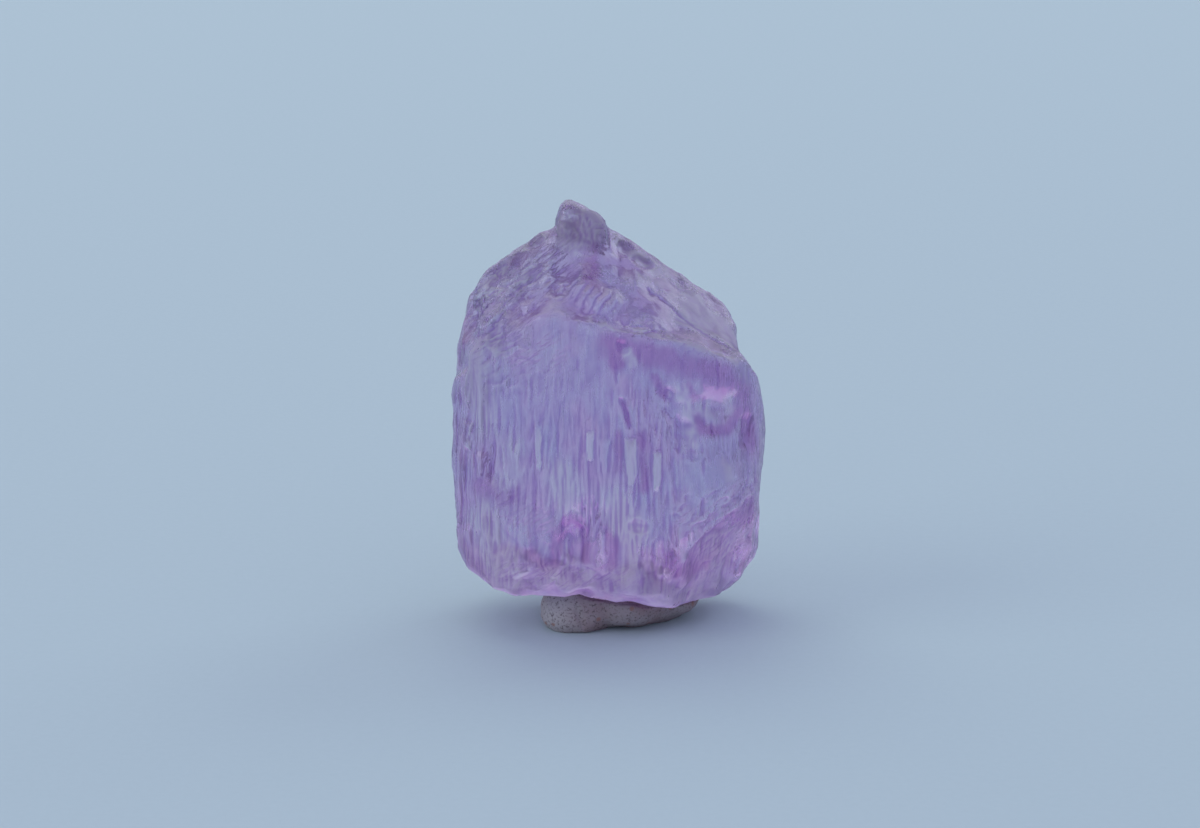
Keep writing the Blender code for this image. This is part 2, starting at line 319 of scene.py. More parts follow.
@dataclass(frozen=True)
class Bar:
    """A narrow upright bar with a flat face that stands out on the front of the prism."""

    middle: Point
    half_width: float
    half_height: float
    height: float
    taper: float = 0.3
    waver: float = 0.15

    def height_at(self, at: Vector, facing: Vector) -> float:
        """The height of the bar.

        Args:
            at: A point of the surface.
            facing: The way the surface faces there.

        Returns:
            How far the surface stands out, in mm.
        """
        away = at - Vector(self.middle)
        if facing.y > 0.0 or abs(away.z) > 1.2 * self.half_height:
            return 0.0
        wide = self.half_width * (1.0 + self.taper * away.z / self.half_height)
        across = abs(away.x + self.waver * noise.noise(at * 1.1)) / wide
        along = abs(away.z) / self.half_height
        return self.height * ramp(max(across, along), 1.15, 0.7)


@dataclass(frozen=True)
class Hollow:
    """A soft egg-shaped hollow, or a swelling if its depth is below 0."""

    zone: Zone
    depth: float

    def height_at(self, at: Vector, facing: Vector) -> float:
        """The depth of the hollow at a point, as a height below zero."""
        return -self.depth * self.zone.share(at)


def drawn_out(at: Vector, widths: Point) -> Vector:
    """A point in units of these widths along X, Y and Z."""
    return Vector((at.x / widths[0], at.y / widths[1], at.z / widths[2]))


def uprightness(facing: Vector) -> float:
    """A share from 1 on faces that stand upright to 0 on faces that slope."""
    return ramp(abs(facing.z), 0.6, 0.3)


def calmness(at: Vector, calm: tuple[Zone, ...]) -> float:
    """A share from 1 far from all calm zones to 0 in the middle of one."""
    return 1.0 - max([0.0, *(zone.share(at) for zone in calm)])


def distance_to_line(at: Vector, start: Vector, end: Vector) -> float:
    """How far a point is from a straight piece of line.

    Args:
        at: The point.
        start: One end of the line.
        end: Its other end.

    Returns:
        The distance to the nearest point of the line.
    """
    along = end - start
    share = min(1.0, max(0.0, (at - start).dot(along) / along.length_squared))
    return (at - start - along * share).length


# Stains.


@dataclass(frozen=True)
class Stain:
    """A soft streak of paler or deeper stone along a line of points, or a patch at one point."""

    wide: float
    strength: float
    points: tuple[Point, ...]

    def share(self, places: Values) -> Values:
        """How strongly the stain shows at many points.

        Args:
            places: The points, one a row.

        Returns:
            A share for each point, which is the stain's strength on its line.
        """
        nearest = np.full(len(places), np.inf)
        for start, end in zip(self.points, self.points[1:] or self.points):
            along = np.subtract(end, start)
            run = max(float(along @ along), 1e-9)
            share = np.clip((places - start) @ along / run, 0.0, 1.0)
            away = places - start - share[:, None] * along
            nearest = np.minimum(nearest, (away * away).sum(1))
        return self.strength * np.exp(-nearest / self.wide**2)


def stained(places: Values, stains: tuple[Stain, ...]) -> Values:
    """The strongest of several stains at many points."""
    return np.max([stain.share(places) for stain in stains], axis=0)


# Meshes.


def settle(piece: Object) -> None:
    """Writes a piece's modifiers into its mesh.

    Args:
        piece: The piece, whose modifiers are gone afterwards.
    """
    bpy.context.view_layer.update()
    graph = bpy.context.evaluated_depsgraph_get()
    shaped = bpy.data.meshes.new_from_object(piece.evaluated_get(graph))
    piece.modifiers.clear()
    piece.data = shaped


def placed(name: str, content: ID) -> Object:
    """Puts a new object into the scene.

    Args:
        name: The object's name.
        content: Its mesh, lamp or camera.

    Returns:
        The object.
    """
    thing = bpy.data.objects.new(name, content)
    bpy.context.scene.collection.objects.link(thing)
    return thing


def merged_copy(name: str, node: str) -> Object:
    """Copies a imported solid, whose triangles are loose, and joins their corners.

    Args:
        name: The new piece's name.
        node: The solid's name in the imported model.

    Returns:
        A new object with the closed mesh.
    """
    shape = bmesh.new()
    shape.from_mesh(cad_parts[node].data)
    bmesh.ops.remove_doubles(shape, verts=shape.verts, dist=MERGE_REACH)
    mesh = bpy.data.meshes.new(name)
    shape.to_mesh(mesh)
    shape.free()
    return placed(name, mesh)


def remesh(piece: Object, cell: float, rounds: int) -> None:
    """Gives a piece even square faces and softens it.

    Args:
        piece: The piece to change.
        cell: The width of a face, in mm.
        rounds: How many times it is softened.
    """
    even = piece.modifiers.new("even", "REMESH")
    even.mode = "VOXEL"
    even.voxel_size = cell * MM
    soft = piece.modifiers.new("soft", "SMOOTH")
    soft.factor = 0.5
    soft.iterations = rounds
    settle(piece)


def refine_front(piece: Object, limit: float) -> None:
    """Halves the faces that look to the camera's side, where the relief is seen most closely.

    Args:
        piece: The piece to change.
        limit: How much a face has to look that way, from -1 to 1.
    """
    towards = Vector((0.0, -math.cos(FRONT_RISE), math.sin(FRONT_RISE)))
    shape = bmesh.new()
    shape.from_mesh(piece.data)
    shape.normal_update()
    chosen = {face for face in shape.faces if face.normal.dot(towards) > limit}
    edges = list({edge for face in chosen for edge in face.edges})
    bmesh.ops.subdivide_edges(shape, edges=edges, cuts=1, use_grid_fill=True)
    for _ in range(2):
        bmesh.ops.smooth_vert(
            shape, verts=shape.verts, factor=0.5, use_axis_x=True, use_axis_y=True, use_axis_z=True
        )
    shape.to_mesh(piece.data)
    shape.free()


def carve(piece: Object, reliefs: tuple[Relief, ...]) -> None:
    """Moves every point of a piece in or out by the sum of its reliefs.

    Args:
        piece: The piece to change.
        reliefs: What to carve into it.
    """
    mesh: Mesh = piece.data
    outward = [normal.vector.copy() for normal in mesh.vertex_normals]
    for vertex, facing in zip(mesh.vertices, outward):
        at = vertex.co / MM
        height = sum(relief.height_at(at, facing) for relief in reliefs)
        vertex.co += facing * (height * MM)


def point_values(piece: Object) -> tuple[Values, Values]:
    """Reads the places of a piece's points, in mm, and the ways that they face.

    Args:
        piece: The piece to read.

    Returns:
        The places and the outward directions, one row for each point.
    """
    mesh: Mesh = piece.data
    places = np.empty(len(mesh.vertices) * 3, np.float32)
    mesh.vertices.foreach_get("co", places)
    facing = np.empty_like(places)
    mesh.vertex_normals.foreach_get("vector", facing)
    return places.reshape(-1, 3).astype(float) / MM, facing.reshape(-1, 3).astype(float)


def bulges(piece: Object, rounds: int) -> Values:
    """Works out how far each point of a piece stands out from a softened copy of the surface.

    Args:
        piece: The piece to measure.
        rounds: How many times the copy is softened.

    Returns:
        The distance in mm, above 0 on crests and below 0 in creases.
    """
    mesh: Mesh = piece.data
    places, facing = point_values(piece)
    ends = np.empty(len(mesh.edges) * 2, np.int32)
    mesh.edges.foreach_get("vertices", ends)
    here = np.concatenate([ends[0::2], ends[1::2]])
    there = np.concatenate([ends[1::2], ends[0::2]])
    links = np.maximum(np.bincount(here, minlength=len(places)), 1)
    soft = places.copy()
    for _ in range(rounds):
        for axis in range(3):
            sums = np.bincount(here, weights=soft[there, axis], minlength=len(places))
            soft[:, axis] = 0.5 * soft[:, axis] + 0.5 * sums / links
    return ((places - soft) * facing).sum(1)


def press_flat(piece: Object) -> None:
    """Lifts every point of a piece that lies below the floor onto it."""
    for vertex in piece.data.vertices:
        vertex.co.z = max(0.0, vertex.co.z)


def front_share(facing: Values) -> Values:
    """How much each of many outward directions looks to the camera's side, from 0 to 1."""
    towards = np.array((0.0, -math.cos(FRONT_RISE), math.sin(FRONT_RISE)))
    return np.clip(0.5 + 1.5 * (facing @ towards), 0.0, 1.0)


def note(piece: Object, name: str, values: Values) -> None:
    """Writes a value from 0 to 1 on every point of a piece, for its finish to read.

    Args:
        piece: The piece to mark.
        name: The name of the value.
        values: One value for each point, which is cut off at 0 and 1.
    """
    attribute = piece.data.attributes.new(name, "FLOAT", "POINT")
    attribute.data.foreach_set("value", np.clip(values, 0.0, 1.0).astype(np.float32))


def shade_smooth(piece: Object) -> None:
    """Shades a piece as one smooth surface."""
    piece.data.polygons.foreach_set("use_smooth", [True] * len(piece.data.polygons))


# Finishes.


class Blend(Enum):
    """How two colours are put together."""

    MIX = "MIX"
    MULTIPLY = "MULTIPLY"


class Sheet:
    """The node tree of one material, with short ways to write its patterns in mm."""

    def __init__(self, name: str) -> None:
        """Starts a new material.

        Args:
            name: The material's name.
        """
        self.material: Material = bpy.data.materials.new(name)
        self.material.use_nodes = True
        self.tree: NodeTree = self.material.node_tree
        self.shader: Node = self.tree.nodes["Principled BSDF"]
        self.output: Node = self.tree.nodes["Material Output"]
        self.place: NodeSocket = self.tree.nodes.new("ShaderNodeTexCoord").outputs["Object"]

    def link(self, source: NodeSocket, target: NodeSocket) -> None:
        """Leads one socket into another."""
        self.tree.links.new(source, target)

    def scaled(
        self, width: Point, turn: Point = (0.0, 0.0, 0.0), shift: Point = (0.0, 0.0, 0.0)
    ) -> NodeSocket:
        """The object's own coordinates, drawn so that a pattern's unit has this width in mm.

        Args:
            width: The width of one unit along X, Y and Z, in mm.
            turn: How far the pattern is turned about X, Y and Z, in degrees.
            shift: How far it is shifted, in mm.

        Returns:
            The socket to lead into a texture's vector.
        """
        mapping = self.tree.nodes.new("ShaderNodeMapping")
        mapping.vector_type = "TEXTURE"
        mapping.inputs["Scale"].default_value = [part * MM for part in width]
        mapping.inputs["Rotation"].default_value = [math.radians(part) for part in turn]
        mapping.inputs["Location"].default_value = [part * MM for part in shift]
        self.link(self.place, mapping.inputs["Vector"])
        return mapping.outputs["Vector"]

    def cloud(self, vector: NodeSocket, detail: float = 2.0, roughness: float = 0.5) -> NodeSocket:
        """A soft noise pattern.

        Args:
            vector: The scaled coordinates.
            detail: How many finer layers it has.
            roughness: How strong the finer layers are.

        Returns:
            Its grey value, around 0.5.
        """
        node = self.tree.nodes.new("ShaderNodeTexNoise")
        node.inputs["Scale"].default_value = 1.0
        node.inputs["Detail"].default_value = detail
        node.inputs["Roughness"].default_value = roughness
        self.link(vector, node.inputs["Vector"])
        return node.outputs["Fac"]

    def cells(self, vector: NodeSocket) -> NodeSocket:
        """A pattern of cells.

        Args:
            vector: The scaled coordinates.

        Returns:
            The distance to the nearest cell's middle.
        """
        node = self.tree.nodes.new("ShaderNodeTexVoronoi")
        node.feature = "F1"
        node.inputs["Scale"].default_value = 1.0
        self.link(vector, node.inputs["Vector"])
        return node.outputs["Distance"]

    def noted(self, name: str) -> NodeSocket:
        """Reads the value that was written on the piece's points.

        Args:
            name: The name that it was written under.

        Returns:
            The value.
        """
        node = self.tree.nodes.new("ShaderNodeAttribute")
        node.attribute_name = name
        return node.outputs["Fac"]

    def turned_away(self) -> NodeSocket:
        """A share from 0 where the surface faces the eye to 1 at its outline."""
        return self.tree.nodes.new("ShaderNodeLayerWeight").outputs["Facing"]

    def levels(self, value: NodeSocket, old: tuple[float, float], new: tuple[float, float]) -> NodeSocket:
        """Maps one range of values smoothly onto another.

        Args:
            value: The value to map.
            old: Its range, which is cut off beyond.
            new: The range that it becomes.

        Returns:
            The mapped value.
        """
        node = self.tree.nodes.new("ShaderNodeMapRange")
        node.interpolation_type = "SMOOTHSTEP"
        for socket, part in zip(("From Min", "From Max", "To Min", "To Max"), (*old, *new)):
            node.inputs[socket].default_value = part
        self.link(value, node.inputs["Value"])
        return node.outputs["Result"]

    def math(self, operation: str, first: NodeSocket, second: NodeSocket | float) -> NodeSocket:
        """Works out one sum of two values.

        Args:
            operation: Which sum.
            first: The first value.
            second: The second value, a socket or a number.

        Returns:
            The result.
        """
        node = self.tree.nodes.new("ShaderNodeMath")
        node.operation = operation
        self.link(first, node.inputs[0])
        if isinstance(second, NodeSocket):
            self.link(second, node.inputs[1])
        else:
            node.inputs[1].default_value = second
        return node.outputs[0]

    def blend(
        self,
        share: NodeSocket | float,
        first: NodeSocket | Colour,
        second: NodeSocket | Colour,
        kind: Blend = Blend.MIX,
    ) -> NodeSocket:
        """Puts two colours together.

        Args:
            share: How much of the second shows.
            first: The first colour.
            second: The second colour.
            kind: How they are put together.

        Returns:
            The blended colour.
        """
        node = self.tree.nodes.new("ShaderNodeMix")
        node.data_type = "RGBA"
        node.blend_type = kind.value
        for socket, value in ((node.inputs[0], share), (node.inputs[6], first), (node.inputs[7], second)):
            if isinstance(value, NodeSocket):
                self.link(value, socket)
            elif isinstance(value, tuple):
                socket.default_value = (*value, 1.0)
            else:
                socket.default_value = value
        return node.outputs[2]

    def bump(
        self,
        height: NodeSocket,
        distance: float,
        strength: float,
        under: NodeSocket | None = None,
    ) -> NodeSocket:
        """Fine relief that is too small for the mesh.

        Args:
            height: The pattern of heights.
            distance: The height of its unit, in mm.
            strength: How strongly it shows.
            under: A coarser bump that it lies on.

        Returns:
            The normal to lead into the shader or a further bump.
        """
        node = self.tree.nodes.new("ShaderNodeBump")
        node.inputs["Distance"].default_value = distance * MM
        node.inputs["Strength"].default_value = strength
        self.link(height, node.inputs["Height"])
        if under is not None:
            self.link(under, node.inputs["Normal"])
        return node.outputs["Normal"]

    def put(self, **values: float | Colour) -> None:
        """Sets plain values on the shader.

        Args:
            **values: The values, each under its socket's name in lower case.
        """
        for name, value in values.items():
            socket = self.shader.inputs[name.replace("_", " ").title().replace("Ior", "IOR")]
            socket.default_value = (*value, 1.0) if isinstance(value, tuple) else value


@dataclass(frozen=True)
class KunziteFinish:
    """Clear to milky lavender stone. Its crests are painted pale, partly as wear and partly as painted
    light, and its creases and outline get painted shade.
    """

    rosy: Colour = (0.88, 0.66, 0.90)
    cool: Colour = (0.80, 0.77, 0.96)
    # Milky stone, and painted highlights on crests, splinters and lit patches.
    pale: Colour = (1.0, 1.0, 1.0)
    # Deeper lilac of the deep stains, painted shade in some of them.
    deep: Colour = (0.60, 0.29, 0.66)
    # Painted shade, in the creases of the relief and between the splinters.
    crease: Colour = (0.56, 0.38, 0.72)
    # Painted shade, darker towards the outline where the surface turns away from the eye.
    rim: Colour = (0.55, 0.36, 0.72)
    absorbed: Colour = (0.62, 0.25, 0.84)
    density: float = 14.0
    ior: float = 1.66
    see_through: float = 0.88
    polished: float = 0.06
    etched: float = 0.34
    milky: float = 0.3
    patch_width: Point = (2.4, 2.4, 4.5)
    thread_width: Point = (0.20, 0.20, 2.2)
    ragged_width: Point = (0.7, 0.7, 1.3)
    pit_width: Point = (0.33, 0.33, 0.6)
    splinter_width: Point = (1.5, 1.2, 0.22)
    splinter_turn: Point = (0.0, -36.0, 0.0)

    def material(self) -> Material:
        """Makes the stone's material.

        Returns:
            The material.
        """
        sheet = Sheet("kunzite")
        patches = sheet.cloud(sheet.scaled(self.patch_width), detail=4.0)
        threads = sheet.cloud(sheet.scaled(self.thread_width), detail=3.0, roughness=0.6)
        sheet.link(self.colour(sheet, patches, threads), sheet.shader.inputs["Base Color"])
        frost = sheet.math("ADD", patches, sheet.math("MULTIPLY", threads, 0.5))
        roughness = sheet.levels(frost, (0.60, 1.0), (self.polished, self.etched))
        milky = sheet.math("MULTIPLY", sheet.noted(FROST_NOTE), self.milky)
        sheet.link(sheet.math("ADD", roughness, milky), sheet.shader.inputs["Roughness"])
        lines = sheet.bump(threads, distance=0.04, strength=0.4)
        broken = sheet.math("MULTIPLY", self.splinters(sheet), sheet.noted(SPLINTER_NOTE))
        cracked = sheet.bump(broken, distance=0.12, strength=0.7, under=lines)
        pits = sheet.levels(sheet.cells(sheet.scaled(self.pit_width)), (0.0, 0.4), (0.0, 1.0))
        pitted = sheet.bump(pits, distance=0.02, strength=0.3, under=cracked)
        sheet.link(pitted, sheet.shader.inputs["Normal"])
        sheet.put(transmission_weight=self.see_through, ior=self.ior)
        depth = sheet.tree.nodes.new("ShaderNodeVolumeAbsorption")
        depth.inputs["Color"].default_value = (*self.absorbed, 1.0)
        depth.inputs["Density"].default_value = self.density
        sheet.link(depth.outputs["Volume"], sheet.output.inputs["Volume"])
        return sheet.material

    def splinters(self, sheet: Sheet) -> NodeSocket:
        """Crisp narrow splinters that run up to the right, 1 on them and 0 between them."""
        drawn = sheet.scaled(self.splinter_width, turn=self.splinter_turn)
        return sheet.levels(sheet.cloud(drawn, detail=5.0, roughness=0.6), (0.40, 0.50), (0.0, 1.0))

    def colour(self, sheet: Sheet, patches: NodeSocket, threads: NodeSocket) -> NodeSocket:
        """Works out the tint of the surface, with painted light and painted shade on its relief, splinters
        and outline.

        Args:
            sheet: The material's node tree.
            patches: The broad pattern of the stone.
            threads: Its fine pattern, drawn out along the crystal.

        Returns:
            The tint.
        """
        ragged = sheet.cloud(sheet.scaled(self.ragged_width), detail=5.0, roughness=0.6)
        body = sheet.blend(sheet.levels(patches, (0.38, 0.62), (0.0, 1.0)), self.rosy, self.cool)
        tint = body
        # Deeper and paler stains, which are partly painted shade and painted light.
        for name, stain in ((DEEP_NOTE, self.deep), (PALE_AND_LIT_NOTE, self.pale)):
            share = sheet.math("ADD", sheet.noted(name), sheet.math("MULTIPLY", ragged, 0.8))
            tint = sheet.blend(sheet.levels(share, (0.5, 1.15), (0.0, 1.0)), tint, stain)
        # Painted glints on the splinters, with painted shade between them.
        splintered = sheet.blend(self.splinters(sheet), self.crease, self.pale)
        tint = sheet.blend(sheet.math("MULTIPLY", sheet.noted(SPLINTER_NOTE), 0.9), tint, splintered)
        # Painted light and shade on the relief: paler on crests, darker in creases.
        fine = sheet.math("MULTIPLY", sheet.noted(FINE_SHADING_NOTE), 0.45)
        light = sheet.math("ADD", fine, sheet.math("MULTIPLY", sheet.noted(BROAD_SHADING_NOTE), 0.55))
        light = sheet.math("ADD", light, sheet.math("MULTIPLY", threads, 0.15))
        light = sheet.math("ADD", light, sheet.math("MULTIPLY", ragged, 0.3))
        relief = sheet.blend(sheet.levels(light, (0.45, 0.95), (0.0, 1.0)), self.crease, self.pale)
        # Painted shade: the tint darkens towards the outline.
        painted_light_and_shade = sheet.blend(sheet.levels(sheet.turned_away(), (0.55, 1.0), (0.0, 0.9)), relief, self.rim)
        return sheet.blend(1.0, tint, painted_light_and_shade, Blend.MULTIPLY)


@dataclass(frozen=True)
class PuttyFinish:
    """Matte grey putty with dark and rusty grit, a faint warm and cool mottle and a painted lighter patch
    for the light on its left side.
    """

    warm: Colour = (0.32, 0.23, 0.235)
    cool: Colour = (0.38, 0.33, 0.33)
    # Painted light on the lit left side of the lump.
    light: Colour = (0.54, 0.53, 0.52)
    grit: Colour = (0.12, 0.09, 0.10)
    rust: Colour = (0.34, 0.18, 0.14)
    roughness: float = 0.8

    def material(self) -> Material:
        """Makes the putty's material.

        Returns:
            The material.
        """
        sheet = Sheet("putty")
        mottle = sheet.cloud(sheet.scaled((1.6, 1.6, 1.6)), detail=4.0)
        base = sheet.blend(sheet.levels(mottle, (0.35, 0.65), (0.0, 1.0)), self.warm, self.cool)
        # Painted light: lighter grey where the left side is lit.
        base = sheet.blend(sheet.noted(PALE_AND_LIT_NOTE), base, self.light)
        fine = sheet.cloud(sheet.scaled((0.16, 0.16, 0.16)), detail=4.0, roughness=0.65)
        tint = sheet.blend(sheet.levels(fine, (0.50, 0.68), (0.0, 0.85)), base, self.grit)
        grains = sheet.cells(sheet.scaled((0.9, 0.9, 0.9), shift=(0.3, 0.1, 0.7)))
        spots = sheet.math("ADD", grains, sheet.math("MULTIPLY", fine, 0.3))
        tint = sheet.blend(sheet.levels(spots, (0.25, 0.36), (0.8, 0.0)), tint, self.rust)
        sheet.link(tint, sheet.shader.inputs["Base Color"])
        roughness = sheet.levels(fine, (0.3, 0.7), (self.roughness - 0.12, self.roughness + 0.1))
        sheet.link(roughness, sheet.shader.inputs["Roughness"])
        sheet.link(sheet.bump(fine, distance=0.05, strength=0.6), sheet.shader.inputs["Normal"])
        sheet.put(specular_ior_level=0.3)
        return sheet.material


@dataclass(frozen=True)
class FloorFinish:
    """Plain pale matte floor with a very faint grain."""

    colour: Colour = (0.575, 0.705, 0.735)
    shade: Colour = (0.545, 0.675, 0.705)
    roughness: float = 0.9

    def material(self) -> Material:
        """Makes the floor's material.

        Returns:
            The material.
        """
        sheet = Sheet("pale_floor")
        grain = sheet.cloud(sheet.scaled((0.5, 0.5, 0.5)), detail=4.0)
        sheet.link(sheet.blend(grain, self.shade, self.colour), sheet.shader.inputs["Base Color"])
        sheet.put(roughness=self.roughness, specular_ior_level=0.2)
        return sheet.material


# Pieces.


@dataclass
class Crystal:
    """The kunzite crystal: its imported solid, remeshed finely and carved with its relief."""

    node: str = "kunzite_crystal"
    slot: str = "kunzite"
    name: str = "crystal"
    cell: float = 0.2
    soft_rounds: int = 1
    front_limit: float = 0.45
    # How the painted light and shade of the relief is measured and how strong it is, weaker on the back.
    fine_rounds: int = 3
    fine_height: float = 0.06
    broad_rounds: int = 24
    broad_height: float = 0.24
    back_share: float = 0.4
    frosted_base: Stain = Stain(3.2, 1.1, ((-9.0, -4.0, 4.6), (9.0, -4.0, 4.6)))
    finish: KunziteFinish = KunziteFinish()

    def overall_relief(self) -> tuple[Relief, ...]:
        """What covers the whole stone: wear, growth lines and etching on the upright faces.

        Returns:
            The reliefs.
        """
        horn = Zone((-1.8, 0.6, 25.2), (1.8, 2.2, 1.6))
        lens = Zone((6.4, -5.4, 14.9), (3.4, 3.0, 3.2))
        shoulder = Zone((4.5, -5.6, 18.0), (6.0, 2.0, 2.0), 0, 12)
        base = Zone((0.0, 0.0, 2.5), (14.0, 12.0, 3.4))
        upper = Zone((0.0, 0.0, 18.5), (14.0, 12.0, 4.5))
        right = Zone((6.8, -4.8, 10.8), (3.4, 3.4, 4.0))
        calm = (lens, shoulder, base)
        return (
            Swells((1.5, 1.5, 2.6), 0.13, (horn,)),
            Swells((0.6, 0.6, 1.0), 0.05, (horn, base)),
            Flutes((1.3, 1.3, 11.0), 0.09, calm),
            Flutes((0.5, 0.5, 6.0), 0.05, (*calm, upper, right)),
            Flutes((0.28, 0.28, 2.6), 0.06, (*calm, upper, right)),
            EtchChannels(0.85, 3.0, 0.20, 0.18, 0.5),
            Hackle((1.5, 1.2, 1.1), 0.05, (base,)),
            Hackle((0.45, 0.45, 0.45), 0.006, (), elsewhere=1.0),
        )

    def top_relief(self) -> tuple[Relief, ...]:
        """The flights of breaks over the top, the fluted chunk and the crack beside it.

        Returns:
            The reliefs.
        """
        stair = Zone((-6.6, -1.0, 21.3), (3.6, 4.4, 3.2))
        below_stair = Zone((-5.6, -4.8, 18.0), (2.9, 2.6, 2.6))
        hairs = Zone((-2.9, -2.6, 22.2), (1.4, 1.5, 1.1))
        chunk = Zone((-0.9, -3.6, 21.8), (1.7, 1.4, 1.1))
        wall = Zone((-1.6, -0.6, 23.3), (1.0, 1.6, 1.4))
        chisel = Zone((4.0, 0.8, 21.2), (4.6, 3.6, 3.2))
        bench = Zone((2.4, -4.9, 20.0), (5.0, 1.0, 1.0), 0, 13)
        return (
            Terraces(stair, (-0.59, 0.21, 0.78), 0.62, 0.42, 0.9),
            Terraces(below_stair, (-0.59, 0.21, 0.78), 0.9, 0.14, 0.9),
            Terraces(hairs, (0.70, -0.18, -0.68), 0.36, 0.18),
            Terraces(chunk, (0.85, -0.14, -0.51), 0.56, 0.46, 0.3),
            Terraces(wall, (0.3, 0.2, 0.93), 0.7, 0.12),
            Terraces(chisel, (0.53, 0.22, 0.82), 1.5, 0.08),
            Hackle((0.9, 0.6, 0.5), 0.13, (bench,)),
            Groove(((2.5, -1.1, 21.7), (4.5, -1.6, 20.2), (6.2, -2.2, 19.2), (7.9, -2.9, 18.3)), 0.25, 0.2),
            ShellScar(Zone((2.65, -1.4, 21.5), (0.3, 0.3, 0.25)), 0.2, 1.0),
            ShellScar(Zone((1.1, 1.5, 23.7), (0.8, 0.9, 0.5), 0, 30), 0.22, 2.0),
            ShellScar(Zone((2.1, 1.0, 23.0), (0.8, 0.9, 0.45), 0, 30), 0.2, 2.0),
            ShellScar(Zone((-4.7, 1.6, 24.1), (0.9, 0.9, 0.5)), 0.2, 2.0),
            ShellScar(Zone((-7.0, -4.0, 19.3), (0.8, 1.0, 0.9), 0, -35), 0.25),
            ShellScar(Zone((0.8, -5.6, 19.2), (0.5, 0.6, 0.7)), 0.25, 1.0),
        )

    def front_relief(self) -> tuple[Relief, ...]:
        """The bars, scars and ridges of the broad front face.

        Returns:
            The reliefs.
        """
        swirl = (
            (5.1, -5.7, 16.9),
            (5.6, -5.5, 15.1),
            (7.2, -5.0, 14.1),
            (8.4, -4.2, 15.0),
            (7.9, -4.6, 16.6),
        )
        ridge = ((9.3, -2.7, 9.6), (7.0, -4.7, 8.1), (4.7, -6.0, 6.3), (3.5, -6.0, 4.6))
        broken_corner = Zone((7.2, -3.4, 5.8), (2.6, 2.8, 2.6))
        above_ridge = Zone((6.0, -5.5, 8.9), (2.8, 1.9, 1.7))
        return (
            Bar((1.35, -6.1, 11.7), 0.30, 1.65, 0.24),
            Bar((2.97, -6.1, 11.3), 0.23, 1.25, 0.22),
            Bar((-0.3, -6.0, 12.3), 0.25, 1.1, 0.14),
            Bar((-1.2, -6.05, 12.9), 0.2, 0.9, 0.14),
            Bar((-4.4, -5.8, 12.7), 0.16, 1.5, 0.16),
            Bar((-8.9, -3.5, 12.8), 0.2, 0.9, 0.14),
            Bar((-8.0, -4.2, 11.2), 0.2, 0.8, 0.14),
            Bar((1.35, -6.1, 9.4), 0.12, 0.9, 0.1),
            Groove(((0.75, -5.8, 15.8), (1.25, -5.95, 14.2)), 0.25, 0.24),
            Groove(((3.6, -5.85, 16.3), (5.1, -5.8, 12.6)), 0.8, 0.22),
            Groove(swirl, 0.7, -0.1),
            Hollow(Zone((6.4, -5.2, 15.5), (1.2, 1.4, 0.8), 0, 30), 0.16),
            ShellScar(Zone((8.6, -4.0, 13.4), (0.9, 1.2, 1.3)), 0.2, 1.5),
            ShellScar(Zone((-2.4, -6.1, 6.9), (0.95, 1.5, 1.75)), 0.34, 1.0),
            Hollow(Zone((-0.5, -6.1, 6.2), (0.8, 1.5, 1.4), 0, 15), -0.28),
            ShellScar(Zone((-4.6, -5.9, 5.4), (1.3, 1.5, 1.8), 0, -15), 0.2, 1.5),
            ShellScar(Zone((-7.2, -4.8, 6.3), (0.8, 1.4, 1.9), 0, -15), 0.16, 1.5),
            Hollow(Zone((1.4, -6.1, 5.2), (0.55, 1.3, 1.9), 0, 5), -0.25),
            ShellScar(Zone((1.9, -6.1, 7.7), (0.75, 1.0, 0.5), 0, 10), 0.22, 1.0),
            ShellScar(Zone((3.3, -6.0, 5.4), (0.9, 1.3, 1.5)), 0.14, 1.5),
            Groove(ridge, 0.6, -0.24),
            Terraces(broken_corner, (0.64, -0.20, -0.74), 0.6, 0.14, 0.6),
            Terraces(above_ridge, (0.64, -0.20, -0.74), 0.85, 0.2, 0.9),
        )

